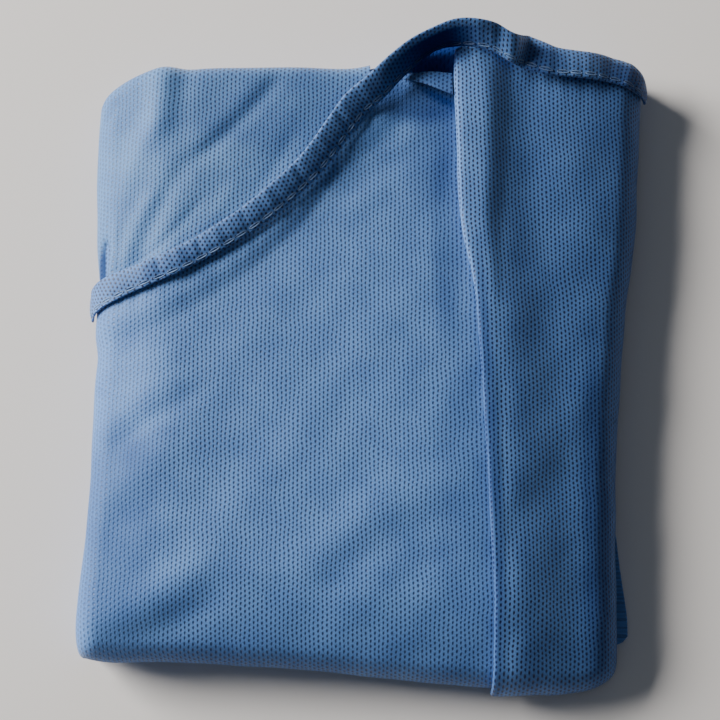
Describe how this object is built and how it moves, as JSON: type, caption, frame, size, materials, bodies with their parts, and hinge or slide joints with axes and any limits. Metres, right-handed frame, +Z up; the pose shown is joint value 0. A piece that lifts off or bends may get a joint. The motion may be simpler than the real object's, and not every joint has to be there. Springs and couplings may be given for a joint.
{
  "type": "folded surgical gown",
  "caption": "Blue nonwoven surgical gown folded into a flat bundle, its front and bound neckline on top and one side folded back over the front.",
  "frame": {"origin": "middle of the bundle's outline, on the surface that it lies on", "axes": "+X across the bundle to the side with the fold, +Y along it to the neck edge, +Z up from the surface"},
  "size_m": [0.2094, 0.2432, 0.0385],
  "materials": {
    "cloth_outside": "matt nonwoven with bonded dots",
    "cloth_inside": "matt nonwoven with bonded dots, paler inside",
    "binding": "matt nonwoven strip, folded and stitched"
  },
  "bodies": {
    "root": {"folded_body": "cloth_outside", "back_panel": "cloth_inside", "front_panel": "cloth_outside", "front_fold": "cloth_outside", "neck_tuck": "cloth_outside", "neck_binding": "binding"}
  },
  "joints": []
}
